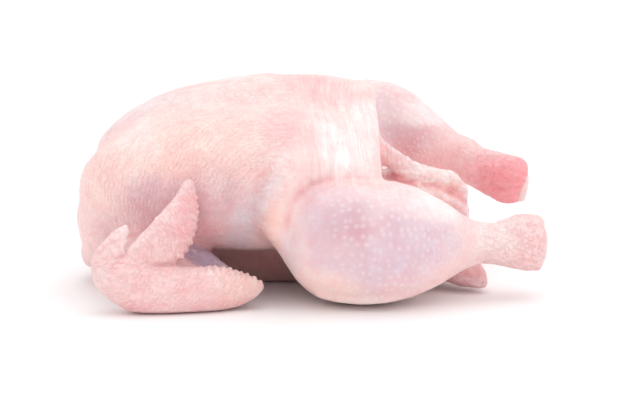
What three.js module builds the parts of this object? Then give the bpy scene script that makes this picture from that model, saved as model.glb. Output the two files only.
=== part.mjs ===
// A whole raw chicken lying on its back, breast up, as bought at a butcher's: neck end at -X, drumsticks
// at +X, +Z up. It leans a little towards -Y, so the -Y knee lies on the table and the +Y leg is raised.
// The bird is one piece of flesh and skin, so it is one solid: smooth forms are blended into one distance
// field, its surface is cut into triangles, and those are thinned out where the skin is smooth.
// Lengths are in millimetres.
import * as THREE from "three";

// How the bird lies
const LEAN_DEG = 10;
const LEAN_PIVOT = [0, 0, 50];
const TABLE_Z = 0;
const TABLE_EDGE = 1; // fillet round the patch on which it lies
const BOX_CENTRE = [-2.2, 0]; // middle of the finished bird in X and Y, which becomes the origin

// Torso, in the frame that leans with the bird; its origin is LEAN_PIVOT
const RIBS = { centre: [-24, 6, -12], radii: [96, 46, 44] };
const FAR_BREAST = { centre: [-34.5, 30, 18], radii: [98, 46, 47.4], yaw: 3, pitch: 3 };
const NEAR_BREAST = { centre: [-39.5, -31, 21], radii: [95.5, 48, 41], yaw: -3, pitch: 3 };
const BELLY = { centre: [18, 0, 14], radii: [46, 58, 46] };
const PELVIS = { centre: [42, 2, -20], radii: [48, 38, 30] };
const KEEL = [
  [-112, 0, 30, 8],
  [-80, 0, 49.5, 8],
  [-45, 0, 61, 8],
  [-18, 0, 64.9, 8],
  [8, 0, 63.2, 8],
  [36, 0, 54.5, 8],
];

// The rest is in the table's frame. A line's stations are [x, y, z, radius].
const NECK_END = { centre: [-98, -10, 38], radii: [42, 48, 36] };
const NECK_SKIN = [
  [-122, 22, 30, 14],
  [-127.5, 2, 26, 20],
  [-124, -16, 26, 16],
];
const NECK_SKIN_FLAT = { along: [0.9, 0, -0.4], ratio: 2 };
const VENT_EDGE_X = 38; // the skin ends here, round the opening between the legs
const VENT_EDGE_SLOPE = 0.05;
const VENT_EDGE_LEVEL = 80;
const CAVITY = { centre: [38, 6, 86], radii: [48, 30, 22], pitch: 8 };
const VENT_LOBE = { centre: [56, -4, 42], radii: [38, 29, 29], pitch: -16 };
const VENT_FOLDS = [
  [
    [54, -27, 71, 1.5],
    [66, -24, 66, 3],
    [78, -20, 60, 3],
    [92, -10, 50, 1],
  ],
  [
    [62, -34, 56, 1.5],
    [80, -27, 48, 3],
    [94, -14, 38, 2],
  ],
];
const VENT_FLAP = [
  [34, -26, 87, 5],
  [46, -26, 76, 6],
  [58, -22, 68, 6],
  [70, -17, 64, 5.5],
  [81, -12, 61, 5.5],
  [87, -7, 54, 6],
];
const TAIL = [
  [62, -8, 20, 20],
  [76, -22, 16, 17],
  [87, -34, 11, 12.5],
  [94, -41, 7, 7.5],
  [98, -45, 4.5, 3],
];
const TAIL_FLAT = { along: [0.1, -0.1, 1], ratio: 1.5 };

// Legs: the near one lies on the table and the far one is raised
const NEAR_DRUMSTICK = [
  [18, -75, 35.5, 34.5],
  [40, -77, 36, 34],
  [60, -72, 35.5, 26],
  [77, -66, 33.8, 17.2],
  [92, -61, 32.8, 12.2],
  [104, -58, 31.6, 11.8],
  [114, -55, 31.4, 14.2],
  [122, -53, 31.6, 15.8],
  [129, -52, 30.2, 14.8],
];
const NEAR_THIGH = [
  [14, -34, 66, 24],
  [4, -43, 70, 25],
  [-2, -51, 54, 24],
  [2, -57, 38, 22],
];
const NEAR_HAUNCH = [
  [16, -66, 33, 30],
  [34, -52, 29, 28],
  [52, -34, 27, 24],
];
const NEAR_CUT = { x: 133.5, slope: 0.06, level: 31 };
const FAR_DRUMSTICK = [
  [22, 76, 86, 27],
  [45, 74, 86, 25.5],
  [66, 69, 77, 19.6],
  [84, 64, 68.2, 13.8],
  [94, 62, 64.6, 13],
  [102, 60, 60, 12.2],
  [112, 58, 56, 13.4],
  [123, 56, 52, 15.2],
];
const FAR_THIGH = [
  [8, 26, 56, 30],
  [12, 52, 68, 31],
  [20, 70, 80, 28],
];
const FAR_HAUNCH = [
  [18, 68, 70, 29],
  [32, 54, 48, 28],
  [50, 34, 32, 24],
];
const FAR_CUT = { x: 135, slope: 0.15, level: 52 };
const NEAR_LEG = {
  drumstick: NEAR_DRUMSTICK,
  thigh: NEAR_THIGH,
  haunch: NEAR_HAUNCH,
  cut: NEAR_CUT,
  fold: 6,
};
const FAR_LEG = {
  drumstick: FAR_DRUMSTICK,
  thigh: FAR_THIGH,
  haunch: FAR_HAUNCH,
  cut: FAR_CUT,
  fold: 8,
};
const FLANK_FOLD = [
  [-12, -64, 100, 1],
  [-26, -78, 84, 5],
  [-37, -86, 66, 8],
  [-40, -87, 46, 11],
  [-36, -81, 22, 13],
];
const KNEE_WEB = [
  [-4, -60, 90, 6],
  [-14, -71, 77, 9],
  [-18, -77, 62, 11],
  [-16, -78, 46, 11],
  [-8, -76, 34, 10],
];
const FAR_FLANK_RISE = 12; // the far fold lies higher, because the bird leans

// Near wing, folded: upper arm back to the elbow, forearm forward to the wrist, hand and thumb up.
// The far wing is its mirror image.
const UPPER_ARM = [
  [-92, -44, 36, 16],
  [-68, -60, 20, 12],
  [-46, -78, 10, 8],
];
const FOREARM = [
  [-28, -88, 12.6, 1.4],
  [-32.5, -88.5, 12.4, 4.6],
  [-39.5, -90, 11.6, 8.4],
  [-51, -92.5, 12, 12],
  [-62, -95, 12.3, 13],
  [-74, -97, 12.3, 13.4],
  [-87, -99, 12.8, 13.8],
  [-98, -100, 16, 14.2],
  [-109, -99, 22, 12],
];
const FOREARM_FLAT = { along: [0, 1, 0], ratio: 1.2 };
const HAND = [
  [-101, -98, 20, 10],
  [-94.6, -97, 26.5, 12],
  [-81.2, -95, 38.5, 14],
  [-74.4, -92, 49.2, 11.5],
  [-70.3, -88, 60.3, 6.8],
  [-68.5, -85.5, 69.5, 3.5],
];
const HAND_FLAT = { along: [0.25, -0.9, -0.25], ratio: 2.3 };
const THUMB = [
  [-113.5, -100, 28, 8],
  [-109.6, -102, 35.5, 6.8],
  [-106, -102, 42.2, 4.8],
  [-102, -101, 47.9, 1.8],
];
const THUMB_FLAT = { along: [0.2, -0.9, 0], ratio: 1.6 };
const WING_WEB = [
  [-96, -68, 28, 14],
  [-78, -76, 18, 12],
  [-60, -83, 11, 9],
];
const WING_WEB_FLAT = { along: [0.2, -0.3, 0.93], ratio: 2.2 };

// Widths of the fillets between one form and the next
const BREAST_FILLET = 22;
const KEEL_FILLET = 24;
const NECK_FILLET = 12;
const NECK_SKIN_FILLET = 5;
const RIBS_FILLET = 8;
const BELLY_FILLET = 24;
const VENT_EDGE_FILLET = 6;
const PELVIS_FILLET = 14;
const THIGH_FILLET = 12;
const CUT_FILLET = 3;
const VENT_FOLD_FILLET = 10;
const VENT_FLAP_FILLET = 6;
const ELBOW_FILLET = 6;
const WING_WEB_FILLET = 8;
const HAND_FILLET = 4;
const THUMB_FILLET = 2;
const FLANK_FILLET = 14;
const KNEE_WEB_FILLET = 12;
const VENT_FILLET = 6;
const NEAR_LEG_FILLET = 10;
const FAR_LEG_FILLET = 10;
const TAIL_FILLET = 6;
const WING_FILLET = 5;
const CAVITY_FILLET = 6;

// The mesh
const CELL = 2.6; // edge of the cells in which the surface is found
const MARGIN = 4;
const LEAST = 0.08; // a corner of a cell is never closer to the surface than this
const REACH = { low: [-142, -118, 0], high: [137, 118, 130] };
const TRIANGLES = 9600;
const LINE_STEPS = 4; // pieces to each stretch of a line of stations
const CULL = 30; // further than this from a line's box, the box's own distance will do
const ROUNDNESS = 0.0015; // how much thinning prefers short edges, so that no triangle becomes a sliver
const FLATNESS = 1e-4; // below this share of what it could be, the planes at a corner fix no single point
const TURNED = 0.3; // thinning never turns a triangle further than this cosine
const LEAST_AREA = 1e-3;
const LAID = 0.15; // skin closer to the table than this lies on it

const radians = THREE.MathUtils.degToRad;

// Blends two distances with a fillet about k wide
function smoothMin(a, b, k) {
  const h = Math.max(k - Math.abs(a - b), 0) / k;
  return Math.min(a, b) - (h * h * k) / 4;
}

const join = (a, b, k) => (x, y, z) => smoothMin(a(x, y, z), b(x, y, z), k);
const carve = (a, b, k) => (x, y, z) => -smoothMin(-a(x, y, z), b(x, y, z), k);

// A field seen from a frame at centre, turned by yaw about Z, pitch about Y (nose up) and roll about X
function placed(field, centre, { yaw = 0, pitch = 0, roll = 0 }) {
  const [cy, ct, cr] = [yaw, pitch, roll].map((a) => Math.cos(radians(a)));
  const [sy, st, sr] = [yaw, pitch, roll].map((a) => Math.sin(radians(a)));
  return (x, y, z) => {
    const [px, py, pz] = [x - centre[0], y - centre[1], z - centre[2]];
    const qx = cy * px + sy * py;
    const qy = cy * py - sy * px;
    const ux = ct * qx + st * pz;
    const uz = ct * pz - st * qx;
    return field(ux, cr * qy + sr * uz, cr * uz - sr * qy);
  };
}

function ellipsoid({ centre, radii: [a, b, c], ...turns }) {
  const field = (x, y, z) => {
    const k0 = Math.hypot(x / a, y / b, z / c);
    const k1 = Math.hypot(x / (a * a), y / (b * b), z / (c * c)) + 1e-9;
    return (k0 * (k0 - 1)) / k1;
  };
  return placed(field, centre, turns);
}

// Stations resampled on a Catmull-Rom curve, radius included
function smoothLine(stations) {
  const mix = (p, q) => p.map((v, i) => 2 * v - q[i]);
  const all = [mix(stations[0], stations[1]), ...stations, mix(stations.at(-1), stations.at(-2))];
  const line = [];
  for (let i = 0; i + 3 < all.length; i++) {
    for (let j = 0; j < LINE_STEPS; j++) {
      const t = j / LINE_STEPS;
      line.push(
        all[i].map((a, n) => {
          const [b, c, d] = [all[i + 1][n], all[i + 2][n], all[i + 3][n]];
          return b + 0.5 * t * (c - a + t * (2 * a - 5 * b + 4 * c - d + t * (3 * (b - c) + d - a)));
        }),
      );
    }
  }
  line.push(stations.at(-1));
  return line;
}

// A round limb along its stations; with flat, it is flat.ratio times thinner in the direction flat.along
function limb(stations, flat = { along: [0, 0, 1], ratio: 1 }) {
  const line = smoothLine(stations);
  const [nx, ny, nz] = new THREE.Vector3(...flat.along).normalize();
  const [squash, squashTwice] = [flat.ratio ** 2 - 1, flat.ratio ** 4 - 1];
  const box = new THREE.Box3();
  for (const [x, y, z, r] of line) {
    box.expandByPoint(new THREE.Vector3(x - r, y - r, z - r));
    box.expandByPoint(new THREE.Vector3(x + r, y + r, z + r));
  }
  const { min, max } = box;
  const cones = line.slice(1).map(([x, y, z, r], i) => {
    const [ax, ay, az, ar] = line[i];
    const d = [x - ax, y - ay, z - az];
    return { a: [ax, ay, az], d, ar, dr: r - ar, length2: d[0] ** 2 + d[1] ** 2 + d[2] ** 2 };
  });
  return (x, y, z) => {
    const out = Math.hypot(
      Math.max(min.x - x, x - max.x, 0),
      Math.max(min.y - y, y - max.y, 0),
      Math.max(min.z - z, z - max.z, 0),
    );
    if (out >= CULL) return out;
    let best = Infinity;
    for (const { a, d, ar, dr, length2 } of cones) {
      const [px, py, pz] = [x - a[0], y - a[1], z - a[2]];
      const t = Math.min(1, Math.max(0, (px * d[0] + py * d[1] + pz * d[2]) / length2));
      const [rx, ry, rz] = [px - t * d[0], py - t * d[1], pz - t * d[2]];
      const r2 = rx * rx + ry * ry + rz * rz;
      const w2 = (rx * nx + ry * ny + rz * nz) ** 2;
      const s1 = Math.sqrt(r2 + squash * w2) + 1e-9;
      const s2 = Math.sqrt(r2 + squashTwice * w2) + 1e-9;
      best = Math.min(best, ((s1 - ar - dr * t) * s1) / s2);
    }
    return best;
  };
}

const leaning = (field) => placed(field, LEAN_PIVOT, { roll: LEAN_DEG });

function torso() {
  let breast = join(ellipsoid(FAR_BREAST), ellipsoid(NEAR_BREAST), BREAST_FILLET);
  breast = join(breast, limb(KEEL), KEEL_FILLET);
  let body = join(leaning(breast), ellipsoid(NECK_END), NECK_FILLET);
  body = join(body, limb(NECK_SKIN, NECK_SKIN_FLAT), NECK_SKIN_FILLET);
  body = join(body, leaning(ellipsoid(RIBS)), RIBS_FILLET);
  body = join(body, leaning(ellipsoid(BELLY)), BELLY_FILLET);
  const beyondVent = (x, y, z) => VENT_EDGE_X - x - VENT_EDGE_SLOPE * (z - VENT_EDGE_LEVEL);
  body = carve(body, beyondVent, VENT_EDGE_FILLET);
  return join(body, leaning(ellipsoid(PELVIS)), PELVIS_FILLET);
}

// A drumstick ends in the cut through its ankle
function leg({ drumstick, thigh, haunch, cut, fold }) {
  const beyondCut = (x, y, z) => cut.x + cut.slope * (z - cut.level) - x;
  const upper = join(limb(thigh), limb(haunch), THIGH_FILLET);
  return join(carve(limb(drumstick), beyondCut, CUT_FILLET), upper, fold);
}

function vent() {
  const folded = (lobe, fold) => carve(lobe, limb(fold), VENT_FOLD_FILLET);
  return join(VENT_FOLDS.reduce(folded, ellipsoid(VENT_LOBE)), limb(VENT_FLAP), VENT_FLAP_FILLET);
}

function wing() {
  let arm = join(limb(UPPER_ARM), limb(FOREARM, FOREARM_FLAT), ELBOW_FILLET);
  arm = join(arm, limb(WING_WEB, WING_WEB_FLAT), WING_WEB_FILLET);
  arm = join(arm, limb(HAND, HAND_FLAT), HAND_FILLET);
  return join(arm, limb(THUMB, THUMB_FLAT), THUMB_FILLET);
}

// The groove between breast and thigh on each side, and the web of skin over the near one's edge
function flanks(torso) {
  const farFold = FLANK_FOLD.map(([x, y, z, r]) => [x, -y, z + FAR_FLANK_RISE, r]);
  const body = carve(torso, limb(FLANK_FOLD), FLANK_FILLET);
  return join(carve(body, limb(farFold), FLANK_FILLET), limb(KNEE_WEB), KNEE_WEB_FILLET);
}

function bird() {
  const nearWing = wing();
  const farWing = (x, y, z) => nearWing(x, -y, z);
  let body = join(flanks(torso()), vent(), VENT_FILLET);
  body = join(body, leg(NEAR_LEG), NEAR_LEG_FILLET);
  body = join(body, leg(FAR_LEG), FAR_LEG_FILLET);
  body = join(body, limb(TAIL, TAIL_FLAT), TAIL_FILLET);
  body = join(body, nearWing, WING_FILLET);
  body = join(body, farWing, WING_FILLET);
  body = carve(body, ellipsoid(CAVITY), CAVITY_FILLET);
  return carve(body, (x, y, z) => z - TABLE_Z, TABLE_EDGE);
}

// Finds the surface by marching tetrahedra: each cell is six of them, round its diagonal
const TETRAHEDRA = [
  [0, 1, 3, 7],
  [0, 3, 2, 7],
  [0, 2, 6, 7],
  [0, 6, 4, 7],
  [0, 4, 5, 7],
  [0, 5, 1, 7],
];
const ONE_IN = [
  [0, 1, 2, 3],
  [1, 0, 3, 2],
  [2, 0, 1, 3],
  [3, 0, 2, 1],
];
const TWO_IN = [
  [0, 1, 2, 3],
  [0, 2, 3, 1],
  [0, 3, 1, 2],
  [1, 2, 0, 3],
  [1, 3, 2, 0],
  [2, 3, 0, 1],
];

function surface(field) {
  const low = REACH.low.map((v) => v - MARGIN);
  low[2] = TABLE_Z - CELL * 1.5; // puts the flat underside midway between two layers of corners
  const counts = REACH.high.map((v, i) => Math.ceil((v + MARGIN - low[i]) / CELL) + 1);
  const strides = [1, counts[0], counts[0] * counts[1]];
  const values = new Float64Array(counts[0] * counts[1] * counts[2]);
  const at = (index) => [
    low[0] + CELL * (index % strides[1]),
    low[1] + CELL * (Math.floor(index / strides[1]) % counts[1]),
    low[2] + CELL * Math.floor(index / strides[2]),
  ];
  for (let i = 0; i < values.length; i++) {
    const value = field(...at(i));
    values[i] = Math.abs(value) < LEAST ? LEAST : value;
  }

  const points = [];
  const faces = [];
  const made = new Map();
  const between = (a, b) => {
    const key = Math.min(a, b) * values.length + Math.max(a, b);
    if (!made.has(key)) {
      const t = values[a] / (values[a] - values[b]);
      const [p, q] = [at(a), at(b)];
      made.set(key, points.push(p.map((v, i) => v + (q[i] - v) * t)) - 1);
    }
    return made.get(key);
  };
  const corners = [0, 1, 2, 3, 4, 5, 6, 7].map(
    (c) => (c & 1) * strides[0] + ((c >> 1) & 1) * strides[1] + (c >> 2) * strides[2],
  );
  for (let k = 0; k < counts[2] - 1; k++)
    for (let j = 0; j < counts[1] - 1; j++)
      for (let i = 0; i < counts[0] - 1; i++) {
        const cell = i + j * strides[1] + k * strides[2];
        const first = values[cell] < 0;
        if (corners.every((c) => values[cell + c] < 0 === first)) continue;
        for (const tetrahedron of TETRAHEDRA) {
          const v = tetrahedron.map((c) => cell + corners[c]);
          const inside = v.map((c) => values[c] < 0);
          const count = inside.filter(Boolean).length;
          if (count === 1 || count === 3) {
            const [a, b, c, d] = ONE_IN[inside.indexOf(count === 1)].map((n) => v[n]);
            const face = [between(a, b), between(a, c), between(a, d)];
            faces.push(count === 1 ? face : face.reverse());
          } else if (count === 2) {
            const [a, b, c, d] = TWO_IN.find(([m, n]) => inside[m] && inside[n]).map((n) => v[n]);
            const [p, q, r, s] = [between(a, c), between(a, d), between(b, d), between(b, c)];
            faces.push([p, q, r], [p, r, s]);
          }
        }
      }
  return { points, faces };
}

const minus = (a, b) => [a[0] - b[0], a[1] - b[1], a[2] - b[2]];
const dot = (a, b) => a[0] * b[0] + a[1] * b[1] + a[2] * b[2];
const cross = (a, b) => [a[1] * b[2] - a[2] * b[1], a[2] * b[0] - a[0] * b[2], a[0] * b[1] - a[1] * b[0]];

// A heap of edges, cheapest first
class Heap {
  items = [];
  push(item) {
    const { items } = this;
    let i = items.push(item) - 1;
    while (i > 0) {
      const up = (i - 1) >> 1;
      if (items[up].cost <= item.cost) break;
      items[i] = items[up];
      i = up;
    }
    items[i] = item;
  }
  pop() {
    const { items } = this;
    const top = items[0];
    const last = items.pop();
    if (!items.length) return top;
    let i = 0;
    for (let down = 1; down < items.length; down = 2 * i + 1) {
      if (down + 1 < items.length && items[down + 1].cost < items[down].cost) down++;
      if (items[down].cost >= last.cost) break;
      items[i] = items[down];
      i = down;
    }
    items[i] = last;
    return top;
  }
}

// Thins a closed mesh out to a number of triangles by collapsing the edges that matter least, measured by
// the squared distances to the planes of the triangles that they replace. It stays closed.
function thinned({ points, faces }, target) {
  const planes = points.map(() => new Float64Array(10));
  const around = points.map(() => new Set());
  const stamps = new Uint32Array(points.length);
  const normal = ([a, b, c]) => cross(minus(points[b], points[a]), minus(points[c], points[a]));
  faces.forEach((face, f) => {
    const n = normal(face);
    const area = Math.sqrt(dot(n, n));
    if (area > 0) {
      const [x, y, z] = n.map((v) => v / area);
      const w = -dot([x, y, z], points[face[0]]);
      const terms = [x * x, x * y, x * z, x * w, y * y, y * z, y * w, z * z, z * w, w * w];
      for (const v of face) terms.forEach((t, i) => (planes[v][i] += (t * area) / 6));
    }
    for (const v of face) around[v].add(f);
  });
  const neighbours = (v) => {
    const found = new Set();
    for (const f of around[v]) for (const n of faces[f]) if (n !== v) found.add(n);
    return found;
  };
  const error = (q, [x, y, z]) =>
    q[0] * x * x + 2 * (q[1] * x * y + q[2] * x * z + q[3] * x) + q[4] * y * y +
    2 * (q[5] * y * z + q[6] * y) + q[7] * z * z + 2 * q[8] * z + q[9];
  const lowest = (q, a, b) => {
    const [r0, r1, r2] = [[q[0], q[1], q[2]], [q[1], q[4], q[5]], [q[2], q[5], q[7]]];
    const d = dot(r0, cross(r1, r2));
    const middle = a.map((v, i) => (v + b[i]) / 2);
    const choices = [a, b, middle];
    if (Math.abs(d) > FLATNESS * (q[0] + q[4] + q[7]) ** 3) {
      const right = [-q[3], -q[6], -q[8]];
      const solved = [dot(right, cross(r1, r2)), dot(r0, cross(right, r2)), dot(r0, cross(r1, right))];
      choices.push(solved.map((v) => v / d));
    }
    return choices.reduce((best, p) => (error(q, p) < error(q, best) ? p : best));
  };
  const heap = new Heap();
  const offer = (a, b) => {
    const q = planes[a].map((v, i) => v + planes[b][i]);
    const place = lowest(q, points[a], points[b]);
    const edge = minus(points[a], points[b]);
    const cost = error(q, place) + ROUNDNESS * dot(edge, edge) ** 2;
    heap.push({ cost, a, b, place, stamp: stamps[a] + stamps[b] });
  };
  // True if moving v to place turns no triangle over, apart from those that go with the edge v-other
  const upright = (v, other, place) => {
    for (const f of around[v]) {
      if (faces[f].includes(other)) continue;
      const before = normal(faces[f]);
      const [a, b, c] = faces[f].map((n) => (n === v ? place : points[n]));
      const after = cross(minus(b, a), minus(c, a));
      const [size0, size1] = [Math.sqrt(dot(before, before)), Math.sqrt(dot(after, after))];
      if (size1 < LEAST_AREA || dot(before, after) < TURNED * size0 * size1) return false;
    }
    return true;
  };
  let left = faces.length;
  points.forEach((_, v) => {
    for (const n of neighbours(v)) if (n > v) offer(v, n);
  });
  while (left > target && heap.items.length) {
    const { a, b, place, stamp } = heap.pop();
    if (stamp !== stamps[a] + stamps[b] || !around[a].size || !around[b].size) continue;
    const [byA, byB] = [neighbours(a), neighbours(b)];
    if (!byA.has(b) || [...byA].filter((n) => byB.has(n)).length !== 2) continue;
    if (!upright(a, b, place) || !upright(b, a, place)) continue;
    for (const f of [...around[b]]) {
      if (faces[f].includes(a)) {
        for (const n of faces[f]) around[n].delete(f);
        faces[f] = null;
        left--;
      } else {
        faces[f] = faces[f].map((n) => (n === b ? a : n));
        around[a].add(f);
      }
    }
    around[b].clear();
    points[a] = place;
    planes[b].forEach((v, i) => (planes[a][i] += v));
    stamps[a] += 1;
    stamps[b] += 1;
    for (const n of neighbours(a)) offer(a, n);
  }
  return { points, faces: faces.filter(Boolean) };
}

function geometryOf({ points, faces }) {
  const used = new Map();
  for (const v of faces.flat()) if (!used.has(v)) used.set(v, used.size);
  const positions = [...used.keys()].flatMap((v) => points[v]);
  const geometry = new THREE.BufferGeometry();
  geometry.setAttribute("position", new THREE.Float32BufferAttribute(positions, 3));
  geometry.setIndex(faces.flat().map((v) => used.get(v)));
  geometry.computeVertexNormals();
  return geometry;
}

function chicken() {
  const mesh = thinned(surface(bird()), TRIANGLES);
  mesh.points = mesh.points.map(([x, y, z]) => [x, y, z - TABLE_Z < LAID ? TABLE_Z : z]);
  const skin = new THREE.MeshStandardMaterial({ color: 0xf3c9c0, roughness: 0.45, metalness: 0 });
  const body = new THREE.Mesh(geometryOf(mesh), skin);
  body.name = "chicken";
  body.position.set(-BOX_CENTRE[0], -BOX_CENTRE[1], 0);
  return body;
}

const whole = new THREE.Group();
whole.add(chicken());
export default whole;
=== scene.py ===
"""A whole raw chicken, plucked and ready for the oven, lying on its back on a white table.

The bird's forms are the same named masses and lines as its CAD solid, in millimetres. Here they carry a
fine skin: creases, wrinkles, quill rows on the wings and the cut ankle joints, and a moist, pale pink
material with follicles and zones of colour, some of them painted highlight and painted shade.
"""

import math

import bpy
import numpy as np
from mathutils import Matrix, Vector


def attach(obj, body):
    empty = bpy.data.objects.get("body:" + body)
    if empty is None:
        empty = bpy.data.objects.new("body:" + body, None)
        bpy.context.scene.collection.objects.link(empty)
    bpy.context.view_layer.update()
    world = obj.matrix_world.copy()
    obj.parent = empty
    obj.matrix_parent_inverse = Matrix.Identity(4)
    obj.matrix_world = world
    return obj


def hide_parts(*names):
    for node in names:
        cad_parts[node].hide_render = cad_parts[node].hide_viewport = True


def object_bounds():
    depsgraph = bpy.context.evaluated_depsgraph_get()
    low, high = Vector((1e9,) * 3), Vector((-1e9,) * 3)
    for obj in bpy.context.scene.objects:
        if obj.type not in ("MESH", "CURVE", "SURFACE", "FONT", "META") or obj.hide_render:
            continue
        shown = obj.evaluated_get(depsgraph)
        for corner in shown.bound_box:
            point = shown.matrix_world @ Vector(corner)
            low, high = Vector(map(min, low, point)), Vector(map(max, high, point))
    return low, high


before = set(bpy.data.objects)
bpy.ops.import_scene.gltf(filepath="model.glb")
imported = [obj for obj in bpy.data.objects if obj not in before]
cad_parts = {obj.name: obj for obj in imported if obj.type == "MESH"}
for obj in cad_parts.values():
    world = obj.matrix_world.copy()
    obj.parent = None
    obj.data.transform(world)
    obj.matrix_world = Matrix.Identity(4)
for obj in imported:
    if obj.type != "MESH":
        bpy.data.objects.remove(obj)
cad_low, cad_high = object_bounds()

MM = 0.001

# How the bird lies; the rest is as in the CAD source
LEAN_DEG = 10
LEAN_PIVOT = (0, 0, 50)
TABLE_EDGE = 2
BOX_CENTRE = (-2.2, 0)

RIBS = dict(centre=(-24, 6, -12), radii=(96, 46, 44))
FAR_BREAST = dict(centre=(-34.5, 30, 18), radii=(98, 46, 47.4), yaw=3, pitch=3)
NEAR_BREAST = dict(centre=(-39.5, -31, 21), radii=(95.5, 48, 41), yaw=-3, pitch=3)
BELLY = dict(centre=(18, 0, 14), radii=(46, 58, 46))
PELVIS = dict(centre=(42, 2, -20), radii=(48, 38, 30))
KEEL = [
    (-112, 0, 30, 8),
    (-80, 0, 49.5, 8),
    (-45, 0, 61, 8),
    (-18, 0, 64.9, 8),
    (8, 0, 63.2, 8),
    (36, 0, 54.5, 8),
]
NECK_END = dict(centre=(-98, -10, 38), radii=(42, 48, 36))
NECK_SKIN = [(-122, 22, 30, 14), (-127.5, 2, 26, 20), (-124, -16, 26, 16)]
NECK_SKIN_FLAT = dict(along=(0.9, 0, -0.4), ratio=2)
VENT_EDGE_X = 38
VENT_EDGE_SLOPE = 0.05
VENT_EDGE_LEVEL = 80
CAVITY = dict(centre=(38, 6, 86), radii=(48, 30, 22), pitch=8)
VENT_LOBE = dict(centre=(56, -4, 42), radii=(38, 29, 29), pitch=-16)
VENT_FOLDS = [
    [(54, -27, 71, 1.5), (66, -24, 66, 3), (78, -20, 60, 3), (92, -10, 50, 1)],
    [(62, -34, 56, 1.5), (80, -27, 48, 3), (94, -14, 38, 2)],
]
VENT_FLAP = [
    (34, -26, 87, 5),
    (46, -26, 76, 6),
    (58, -22, 68, 6),
    (70, -17, 64, 5.5),
    (81, -12, 61, 5.5),
    (87, -7, 54, 6),
]
TAIL = [(62, -8, 20, 20), (76, -22, 16, 17), (87, -34, 11, 12.5), (94, -41, 7, 7.5), (98, -45, 4.5, 3)]
TAIL_FLAT = dict(along=(0.1, -0.1, 1), ratio=1.5)
NEAR_DRUMSTICK = [
    (18, -75, 35.5, 34.5),
    (40, -77, 36, 34),
    (60, -72, 35.5, 26),
    (77, -66, 33.8, 17.2),
    (92, -61, 32.8, 12.2),
    (104, -58, 31.6, 11.8),
    (114, -55, 31.4, 14.2),
    (122, -53, 31.6, 15.8),
    (129, -52, 30.2, 14.8),
]
NEAR_THIGH = [(14, -34, 66, 24), (4, -43, 70, 25), (-2, -51, 54, 24), (2, -57, 38, 22)]
NEAR_HAUNCH = [(16, -66, 33, 30), (34, -52, 29, 28), (52, -34, 27, 24)]
NEAR_CUT = dict(x=133.5, slope=0.06, level=31)
FAR_DRUMSTICK = [
    (22, 76, 86, 27),
    (45, 74, 86, 25.5),
    (66, 69, 77, 19.6),
    (84, 64, 68.2, 13.8),
    (94, 62, 64.6, 13),
    (102, 60, 60, 12.2),
    (112, 58, 56, 13.4),
    (123, 56, 52, 15.2),
]
FAR_THIGH = [(8, 26, 56, 30), (12, 52, 68, 31), (20, 70, 80, 28)]
FAR_HAUNCH = [(18, 68, 70, 29), (32, 54, 48, 28), (50, 34, 32, 24)]
FAR_CUT = dict(x=135, slope=0.15, level=52)
FLANK_FOLD = [
    (-12, -64, 100, 1),
    (-26, -78, 84, 5),
    (-37, -86, 66, 8),
    (-40, -87, 46, 11),
    (-36, -81, 22, 13),
]
KNEE_WEB = [
    (-4, -60, 90, 6),
    (-14, -71, 77, 9),
    (-18, -77, 62, 11),
    (-16, -78, 46, 11),
    (-8, -76, 34, 10),
]
FAR_FLANK_RISE = 12
UPPER_ARM = [(-92, -44, 36, 16), (-68, -60, 20, 12), (-46, -78, 10, 8)]
FOREARM = [
    (-28, -88, 12.6, 1.4),
    (-32.5, -88.5, 12.4, 4.6),
    (-39.5, -90, 11.6, 8.4),
    (-51, -92.5, 12, 12),
    (-62, -95, 12.3, 13),
    (-74, -97, 12.3, 13.4),
    (-87, -99, 12.8, 13.8),
    (-98, -100, 16, 14.2),
    (-109, -99, 22, 12),
]
FOREARM_FLAT = dict(along=(0, 1, 0), ratio=1.2)
HAND = [
    (-101, -98, 20, 10),
    (-94.6, -97, 26.5, 12),
    (-81.2, -95, 38.5, 14),
    (-74.4, -92, 49.2, 11.5),
    (-70.3, -88, 60.3, 6.8),
    (-68.5, -85.5, 69.5, 3.5),
]
HAND_FLAT = dict(along=(0.25, -0.9, -0.25), ratio=2.3)
THUMB = [
    (-113.5, -100, 28, 8),
    (-109.6, -102, 35.5, 6.8),
    (-106, -102, 42.2, 4.8),
    (-102, -101, 47.9, 1.8),
]
THUMB_FLAT = dict(along=(0.2, -0.9, 0), ratio=1.6)
WING_WEB = [(-96, -68, 28, 14), (-78, -76, 18, 12), (-60, -83, 11, 9)]
WING_WEB_FLAT = dict(along=(0.2, -0.3, 0.93), ratio=2.2)

# How widely each mass flows into the next, narrower than in the CAD source where real skin creases
BREAST_FILLET = 22
KEEL_FILLET = 24
NECK_FILLET = 12
NECK_SKIN_FILLET = 5
RIBS_FILLET = 8
BELLY_FILLET = 24
VENT_EDGE_FILLET = 5
PELVIS_FILLET = 14
THIGH_FILLET = 12
CUT_FILLET = 3
NEAR_KNEE_FILLET = 3.5
FAR_KNEE_FILLET = 8
SHIN_FILLET = 4
VENT_FOLD_FILLET = 5
VENT_FLAP_FILLET = 4
ELBOW_FILLET = 6
WING_WEB_FILLET = 6
HAND_FILLET = 3
THUMB_FILLET = 1
FLANK_FILLET = 14
KNEE_WEB_FILLET = 12
VENT_FILLET = 5
NEAR_LEG_FILLET = 6
FAR_LEG_FILLET = 8
TAIL_FILLET = 5
WING_FILLET = 4
CAVITY_FILLET = 6

# Finer skin that the CAD solid leaves out
SKIN_BACK = 1.6  # how far the skin has shrunk back from the cut ankle joints
SHIN_RIDGE = [
    (4, -92, 9, 1.5),
    (20, -94, 6.5, 2.4),
    (40, -95.5, 7.5, 2.6),
    (60, -87, 12.4, 2.4),
    (77, -76, 19, 2),
    (92, -67.5, 23, 1.2),
]

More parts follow.
